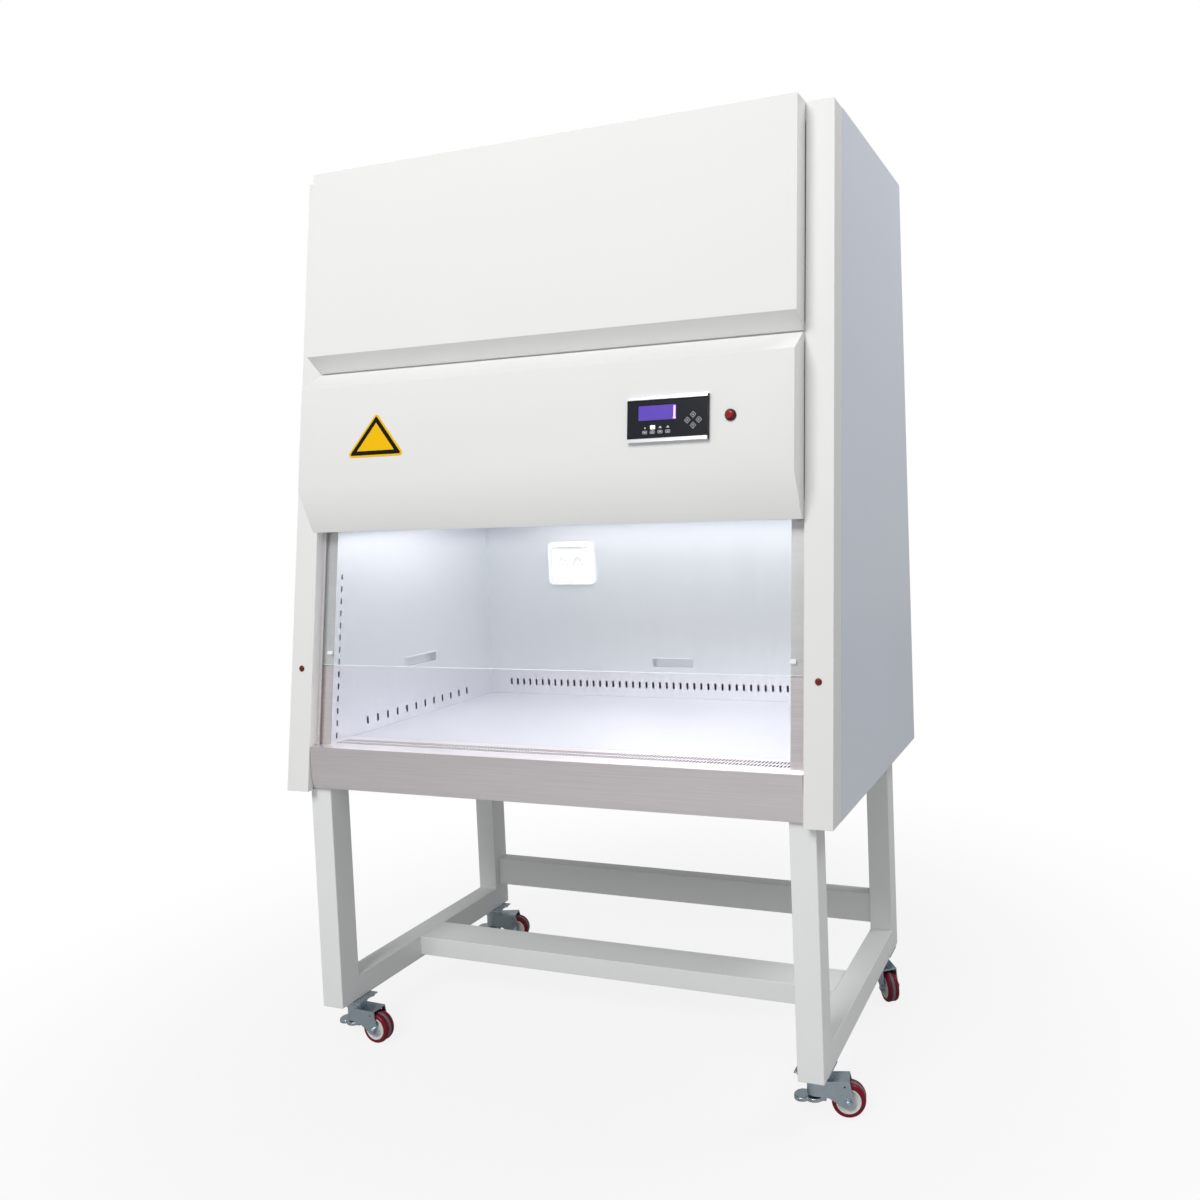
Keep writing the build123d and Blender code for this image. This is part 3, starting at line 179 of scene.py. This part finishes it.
# Stainless of the base pan and tray supports, darkened as painted shade for the dim cavity under the work surface
PAN_PAINTED_SHADE = finish("pan_painted_shade", srgb(92, 92, 94), 0.5, 0.6, 0.08, 3.0, 0.08, ALONG_X, 0.25, 14.0)
GLASS_EDGE = finish("glass_edge", srgb(226, 238, 238), 0.25, drift=0.02, relief=0.0)


# ---------------------------------------------------------------- mesh tools
def piece(name, bm, body, slot, *materials, smooth=40.0):
    """Links a bmesh as a piece that rides on a body; its faces keep their material numbers."""
    bmesh.ops.recalc_face_normals(bm, faces=bm.faces)
    mesh = bpy.data.meshes.new(name)
    bm.to_mesh(mesh)
    bm.free()
    for material in materials:
        mesh.materials.append(material)
    mesh.shade_smooth()
    mesh.set_sharp_from_angle(angle=math.radians(smooth))
    made = bpy.data.objects.new(name, mesh)
    bpy.context.scene.collection.objects.link(made)
    made.modifiers.new("even_shading", "WEIGHTED_NORMAL").keep_sharp = True
    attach(made, body)
    return made


def round_edges(bm, width, segments=2, above=30.0):
    """Rounds every edge that is sharper than an angle."""
    sharp = [e for e in bm.edges if len(e.link_faces) == 2 and e.calc_face_angle(0) > math.radians(above)]
    bmesh.ops.bevel(bm, geom=sharp, offset=width, segments=segments, profile=0.5, affect="EDGES",
                    clamp_overlap=True)


def dress(node, width, pick=None, materials=None, segments=2):
    """Stands a copy of a CAD node, with its edges rounded, for the node; pick numbers each face's material."""
    bm = bmesh.new()
    bm.from_mesh(NODES[node].data)
    bmesh.ops.remove_doubles(bm, verts=bm.verts, dist=1e-6)
    bmesh.ops.dissolve_limit(bm, angle_limit=math.radians(0.3), verts=bm.verts, edges=bm.edges)
    round_edges(bm, width, segments)
    for face in bm.faces:
        face.material_index = pick(face) if pick else 0
    made = piece(f"{node}_rounded", bm, BODY_OF[node], SLOT_OF[node], *(materials or [FINISH[SLOT_OF[node]]]))
    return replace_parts(made, node)


def prism(outline, z0, z1, at, hole=None):
    """A flat plate of an outline, or a ring between two outlines of as many points, in a local frame."""
    bm = bmesh.new()
    rows = [[bm.verts.new(at @ Vector((x, y, z))) for x, y in line]
            for line in ((outline, hole) if hole else (outline,)) for z in (z0, z1)]
    n = len(outline)
    if not hole:
        bm.faces.new(rows[0])
        bm.faces.new(rows[1])
    for i in range(n):
        j = (i + 1) % n
        bm.faces.new((rows[0][i], rows[0][j], rows[1][j], rows[1][i]))
        if hole:
            bm.faces.new((rows[2][i], rows[2][j], rows[3][j], rows[3][i]))
            bm.faces.new((rows[0][i], rows[0][j], rows[2][j], rows[2][i]))
            bm.faces.new((rows[1][i], rows[1][j], rows[3][j], rows[3][i]))
    return bm


def join(*parts):
    """One bmesh of several, which are freed."""
    whole = bmesh.new()
    for part in parts:
        mesh = bpy.data.meshes.new("part")
        part.to_mesh(mesh)
        part.free()
        whole.from_mesh(mesh)
        bpy.data.meshes.remove(mesh)
    return whole


def lathe(profile, at, steps=64):
    """Turns (radius, height) points round the local z axis of a frame."""
    bm = bmesh.new()
    rings = [[bm.verts.new(at @ Vector((r * math.cos(a), r * math.sin(a), h)))
              for a in (2 * math.pi * i / steps for i in range(steps))] for r, h in profile]
    for low, high in zip(rings, rings[1:]):
        for i in range(steps):
            j = (i + 1) % steps
            bm.faces.new((low[i], low[j], high[j], high[i]))
    return bm


def ngon(radius, sides, turn=0.0, center=(0, 0)):
    """Corners of a regular polygon."""
    return [(center[0] + radius * math.cos(turn + 2 * math.pi * i / sides),
             center[1] + radius * math.sin(turn + 2 * math.pi * i / sides)) for i in range(sides)]


def rounded(corners, radius, steps=5):
    """A convex, anticlockwise outline with its corners rounded."""
    line = []
    for i, corner in enumerate(corners):
        p, a, b = Vector(corner), Vector(corners[i - 1]), Vector(corners[(i + 1) % len(corners)])
        u, v = (a - p).normalized(), (b - p).normalized()
        half = u.angle(v) / 2
        middle = p + (u + v).normalized() * (radius / math.sin(half))
        start = p + u * (radius / math.tan(half)) - middle
        turn = math.pi - 2 * half
        line += [tuple(middle + Matrix.Rotation(turn * k / steps, 2) @ start) for k in range(steps + 1)]
    return line


def inset(corners, by):
    """A convex, anticlockwise outline moved inwards by a distance."""
    moved = []
    for i, corner in enumerate(corners):
        p, a, b = Vector(corner), Vector(corners[i - 1]), Vector(corners[(i + 1) % len(corners)])
        u, v = (a - p).normalized(), (b - p).normalized()
        moved.append(tuple(p + (u + v).normalized() * (by / math.sin(u.angle(v) / 2))))
    return moved


def box_outline(width, height, center=(0, 0)):
    x, y = center
    return [(x - width / 2, y - height / 2), (x + width / 2, y - height / 2),
            (x + width / 2, y + height / 2), (x - width / 2, y + height / 2)]


# ---------------------------------------------------------------- CAD pieces
ROUNDED = {
    "front_post_l": 0.9, "front_post_r": 0.9, "side_panel_l": 0.8, "side_panel_r": 0.8, "upper_front_panel": 0.9,
    "control_panel": 0.9, "front_apron": 0.6, "stand_left_frame": 2.5, "stand_right_frame": 2.5,
    "stand_cross_rails": 2.5, "castor_plates": 0.5, "post_screws": 0.5, "sash_fittings": 0.4,
}
for name, width in ROUNDED.items():
    dress(name, width * MM)
for corner in ("fl", "fr", "rl", "rr"):
    dress(f"castor_fork_{corner}", 0.6 * MM)
    dress(f"castor_pedal_{corner}", 0.4 * MM)
dress("sash_glass", 0.5 * MM, lambda face: 0 if abs(face.normal.y) > 0.9 else 1,
      [FINISH["sash_glass"], GLASS_EDGE])
# The base pan and tray supports get the stainless with painted shade; the button bezel gets its own dark colour
OWN_FINISH = {"base_pan": PAN_PAINTED_SHADE, "tray_supports": PAN_PAINTED_SHADE, "button_bezel": BEZEL}
for name, node in NODES.items():
    node.data.materials.clear()
    node.data.materials.append(OWN_FINISH.get(name, FINISH[SLOT_OF[name]]))


# ---------------------------------------------------------------- controller
def controller():
    """Silver rails, lit display and marked keys of the controller."""
    low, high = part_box("controller_frame")
    x = (low.x + high.x) / 2
    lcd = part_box("screen")
    z = 1.511
    at = on_front(x, z, CONTROL_OUT)
    half, rail = 0.049, 0.0075
    inverse = at.inverted()

    def rail_or_face(face):
        return 1 if abs((inverse @ face.calc_center_median()).y) > half - rail - 0.0002 else 0

    dress("controller_frame", 0.5 * MM, rail_or_face, [FINISH["black_face"], ALUMINIUM])
    sx, top = (lcd[0].x + lcd[1].x) / 2 - x, 7.6 * MM
    sy, width, height = 0.0135, 0.0916, 0.0346
    glow = prism(rounded(box_outline(width - 0.003, height - 0.003, (sx, sy)), 0.6 * MM), top, top + 0.2 * MM, at)
    piece("display_glow", glow, "cabinet", "screen", DISPLAY)
    bar = join(prism(box_outline(0.0045, height - 0.008, (sx + 0.040, sy)), top + 0.2 * MM, top + 0.3 * MM, at),
               prism(box_outline(0.0065, 0.003, (sx + 0.040, sy - height / 2 + 0.004)), top + 0.2 * MM,
                     top + 0.32 * MM, at))
    piece("display_bar", bar, "cabinet", "screen", DISPLAY_BAR)

    face = 8 * MM
    icons = [prism(rounded(box_outline(0.0035, 0.003, (-0.0513, -0.0185)), 0.8 * MM), face, face + 0.15 * MM, at)]
    for cx in (-0.0155, 0.0024):
        icons.append(prism([(cx - 0.004, -0.020), (cx + 0.004, -0.020), (cx + 0.0005, -0.0155),
                            (cx - 0.001, -0.0155)], face, face + 0.15 * MM, at))
    piece("key_icons", join(*icons), "cabinet", "black_face", MARK)
    lit = prism(rounded(box_outline(0.0115, 0.0085, (-0.0334, -0.0175)), 2 * MM), face, face + 0.2 * MM, at)
    piece("key_icon_lit", lit, "cabinet", "black_face", MARK_LIT)

    key_top = 8.8 * MM
    for i in range(4):
        cx = -0.0245 + (i - 1.5) * 0.0179
        outer = box_outline(0.0112, 0.0067, (cx, -0.028))
        ring = prism(rounded(outer, 2.2 * MM), key_top, key_top + 0.15 * MM, at,
                     rounded(inset(outer, 0.8 * MM), 1.5 * MM))
        label = prism(rounded(box_outline(0.0055, 0.0018, (cx, -0.028)), 0.4 * MM), key_top, key_top + 0.15 * MM, at)
        piece(f"key_f{i + 1}_outline", join(ring, label), f"key_f{i + 1}", "key_rubber", MARK)
    for name, dx, dy, turn in (("up", 0, 0.0115, 90), ("down", 0, -0.0115, -90), ("left", -0.0133, 0, 180),
                               ("right", 0.0133, 0, 0)):
        cx, cy = 0.0605 + dx, -0.007 + dy
        outer = ngon(0.0070, 4, 0, (cx, cy))
        ring = prism(rounded(outer, 1.2 * MM), key_top, key_top + 0.15 * MM, at,
                     rounded(inset(outer, 0.7 * MM), 0.8 * MM))
        arrow = prism(ngon(0.0021, 3, math.radians(turn), (cx, cy)), key_top, key_top + 0.15 * MM, at)
        piece(f"key_{name}_outline", join(ring, arrow), f"key_{name}", "key_rubber", MARK)


controller()


# ---------------------------------------------------------------- warning plate without words or symbol
def sign_plate():
    """Yellow triangular plate with a dark border line."""
    at = on_front(-0.4075, 1.515, CONTROL_OUT)
    corners = [(-0.084, -0.0485), (0.084, -0.0485), (0, 0.0555)]
    plate = prism(rounded(corners, 7 * MM), 0, 0.9 * MM, at)
    piece("sign_plate", plate, "cabinet", "white_plastic", YELLOW)
    outer, inner = inset(corners, 4.5 * MM), inset(corners, 14.5 * MM)
    line = prism(rounded(outer, 3 * MM), 0.9 * MM, 1.05 * MM, at, rounded(inner, 0.8 * MM))
    piece("sign_border", line, "cabinet", "white_plastic", BLACK)


sign_plate()


# ---------------------------------------------------------------- castors
def castor(corner):
    """Tread, hub, nuts and plate bolts of one castor."""
    swivel = Vector(JOINTS[f"castor_{corner}_swivel"]["pos_m"])
    roll = Vector(JOINTS[f"wheel_{corner}_roll"]["pos_m"])
    trail = Vector((roll.x - swivel.x, roll.y - swivel.y, 0)).normalized()
    side = Vector((-trail.y, trail.x, 0))
    axle = Matrix((trail, Vector((0, 0, -1)), side)).transposed().to_4x4()
    axle.translation = roll
    half = [(26, 0), (26, 14), (29, 15.4), (32, 15.6), (34.4, 14.6), (36.2, 12.4), (37.2, 9.5), (37.5, 7.5),
            (37.0, 5.6), (36.2, 4.6), (36.2, 3.6)]
    tread = join(lathe([(r * MM, h * MM) for r, h in half], axle), lathe([(r * MM, -h * MM) for r, h in half], axle))
    stripe = lathe([(r * MM, h * MM) for r, h in ((36.2, 3.6), (36.9, 3.0), (37.0, 0), (36.9, -3.0), (36.2, -3.6))],
                   axle)
    first = len(tread.faces)
    whole = join(tread, stripe)
    for face in list(whole.faces)[first:]:
        face.material_index = 1
    bmesh.ops.remove_doubles(whole, verts=whole.verts, dist=1e-6)
    body = f"wheel_{corner}"
    piece(f"tread_{corner}", whole, body, "wheel_tread", FINISH["wheel_tread"], STRIPE)
    dish = [(4.05, 17.6), (9.5, 17.6), (10, 17), (11, 12.5), (14, 9.5), (19, 9), (22.5, 12), (23.5, 14.6),
            (24.3, 15.4), (26.6, 15.4), (27.4, 14.6)]
    hub = join(lathe([(r * MM, h * MM) for r, h in dish], axle), lathe([(r * MM, -h * MM) for r, h in dish], axle))
    made = piece(f"hub_{corner}", hub, body, "wheel_tread", HUB)
    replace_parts(made, f"castor_wheel_{corner}")

    nuts = []
    for end in (-1, 1):
        spot = axle @ Matrix.Rotation(0 if end > 0 else math.pi, 4, "X")
        nuts.append(lathe([(r * MM, h * MM) for r, h in ((0.1, 22.0), (8.6, 22.0), (8.6, 20.6))], spot, 32))
        nuts.append(prism(ngon(7.4 * MM, 6, 0.3), 22 * MM, 26 * MM, spot))
        nuts.append(lathe([(r * MM, h * MM) for r, h in ((6.0, 26), (5.2, 26.9), (3.2, 27.4), (0.1, 27.5))], spot, 24))
    piece(f"axle_nuts_{corner}", join(*nuts), f"castor_{corner}", "zinc", FINISH["zinc"], smooth=35)

    plate = Matrix.Translation((swivel.x, swivel.y, 0.104)) @ Matrix.Rotation(math.pi, 4, "X")
    bolts = []
    for bx in (-31, 31):
        for by in (-23, 23):
            spot = plate @ Matrix.Translation((bx * MM, by * MM, 0))
            bolts.append(lathe([(r * MM, h * MM) for r, h in ((7, 0), (7, 1.2), (4, 1.2))], spot, 24))
            bolts.append(prism(ngon(5.6 * MM, 6, 0.2), 1.2 * MM, 5 * MM, spot))
    bolts.append(lathe([(r * MM, h * MM) for r, h in ((26, 0), (28.4, 1.2), (29, 2.4), (29, 5.2), (28, 6.6), (26, 6.9))],
                       plate))
    piece(f"plate_bolts_{corner}", join(*bolts), "cabinet", "zinc", FINISH["zinc"], smooth=35)


for corner in ("fl", "fr", "rl", "rr"):
    castor(corner)


# ---------------------------------------------------------------- floor, world, lamps
def shown_ray(tree):
    """1 for rays that see the background: camera and glass rays."""
    path = tree.nodes.new("ShaderNodeLightPath")
    seen = tree.nodes.new("ShaderNodeMath")
    seen.operation = "MAXIMUM"
    tree.links.new(path.outputs["Is Camera Ray"], seen.inputs[0])
    tree.links.new(path.outputs["Is Transmission Ray"], seen.inputs[1])
    return seen.outputs[0]


def studio(ambient=0.62):
    """A white surround that gives plain soft light."""
    world = bpy.data.worlds.new("studio")
    bpy.context.scene.world = world
    world.use_nodes = True
    tree = world.node_tree
    background = tree.nodes["Background"]
    background.inputs["Color"].default_value = (1, 1, 1, 1)
    level = tree.nodes.new("ShaderNodeMapRange")
    level.inputs["To Min"].default_value = ambient
    level.inputs["To Max"].default_value = 1.0
    tree.links.new(shown_ray(tree), level.inputs["Value"])
    tree.links.new(level.outputs["Result"], background.inputs["Strength"])


def floor(radius=9.0, clear=2.2):
    """A pale floor that keeps the shadow near the object and fades into the white surround."""
    bm = bmesh.new()
    bmesh.ops.create_circle(bm, cap_ends=True, segments=96, radius=radius)
    mesh = bpy.data.meshes.new("floor")
    bm.to_mesh(mesh)
    bm.free()
    made = bpy.data.objects.new("floor", mesh)
    made.location.z = -0.0005
    bpy.context.scene.collection.objects.link(made)
    material = bpy.data.materials.new("floor_white")
    material.use_nodes = True
    tree = material.node_tree
    shader, out = tree.nodes["Principled BSDF"], tree.nodes["Material Output"]
    shader.inputs["Base Color"].default_value = (0.52, 0.52, 0.52, 1)
    shader.inputs["Roughness"].default_value = 0.9
    place = tree.nodes.new("ShaderNodeTexCoord")
    length = tree.nodes.new("ShaderNodeVectorMath")
    length.operation = "LENGTH"
    fade = tree.nodes.new("ShaderNodeMapRange")
    fade.interpolation_type = "SMOOTHSTEP"
    fade.inputs["From Min"].default_value = clear * 0.3
    fade.inputs["From Max"].default_value = clear
    fade.inputs["To Min"].default_value = 0.86
    both = tree.nodes.new("ShaderNodeMath")
    both.operation = "MULTIPLY"
    white = tree.nodes.new("ShaderNodeEmission")
    mix = tree.nodes.new("ShaderNodeMixShader")
    tree.links.new(place.outputs["Object"], length.inputs[0])
    tree.links.new(length.outputs["Value"], fade.inputs["Value"])
    tree.links.new(fade.outputs["Result"], both.inputs[0])
    tree.links.new(shown_ray(tree), both.inputs[1])
    tree.links.new(both.outputs[0], mix.inputs[0])
    tree.links.new(shader.outputs[0], mix.inputs[1])
    tree.links.new(white.outputs[0], mix.inputs[2])
    tree.links.new(mix.outputs[0], out.inputs["Surface"])
    mesh.materials.append(material)


def area_lamp(name, place, target, width, height, power, color=(1, 1, 1)):
    light = bpy.data.lights.new(name, "AREA")
    light.shape = "RECTANGLE"
    light.size, light.size_y, light.energy, light.color = width, height, power, color
    made = bpy.data.objects.new(name, light)
    made.location = place
    made.rotation_euler = (Vector(target) - Vector(place)).to_track_quat("-Z", "Y").to_euler()
    made.visible_camera = False
    bpy.context.scene.collection.objects.link(made)
    return made


studio(0.40)
floor()
area_lamp("key_light", (-0.4, -4.6, 4.6), (0, 0, 1.0), 2.4, 2.4, 185.0)
area_lamp("side_light", (2.8, 0.8, 4.2), (0.7, 0, 1.7), 1.2, 1.2, 44.0)
area_lamp("chamber_light", (0, 0.02, 1.290), (0, 0.02, 0.765), 1.1, 0.42, 5.4, (1.0, 0.99, 0.99))


# ---------------------------------------------------------------- camera
def camera():
    """The photograph's viewpoint: a wide lens from the right of the middle, near the height of the header."""
    yaw, pitch, roll = (math.radians(a) for a in (18.346, -2.795, -1.883))
    focal_px, middle_x, middle_y, image = 988.1, 798.5, 554.8, 1200
    forward = Vector((-math.sin(yaw) * math.cos(pitch), math.cos(yaw) * math.cos(pitch), math.sin(pitch)))
    right = Vector((math.cos(yaw), math.sin(yaw), 0))
    up = right.cross(forward)
    turned_right = right * math.cos(roll) + up * math.sin(roll)
    turned_up = up * math.cos(roll) - right * math.sin(roll)
    data = bpy.data.cameras.new("camera")
    data.sensor_width = 36.0
    data.lens = data.sensor_width * focal_px / image
    data.shift_x = (image / 2 - middle_x) / image
    data.shift_y = (middle_y - image / 2) / image
    data.clip_start, data.clip_end = 0.05, 60
    made = bpy.data.objects.new("camera", data)
    made.matrix_world = Matrix((turned_right, turned_up, -forward)).transposed().to_4x4()
    made.location = (1.2690, -2.2849, 1.3166)
    bpy.context.scene.collection.objects.link(made)
    bpy.context.scene.camera = made


camera()
bpy.context.scene.view_settings.view_transform = "Standard"
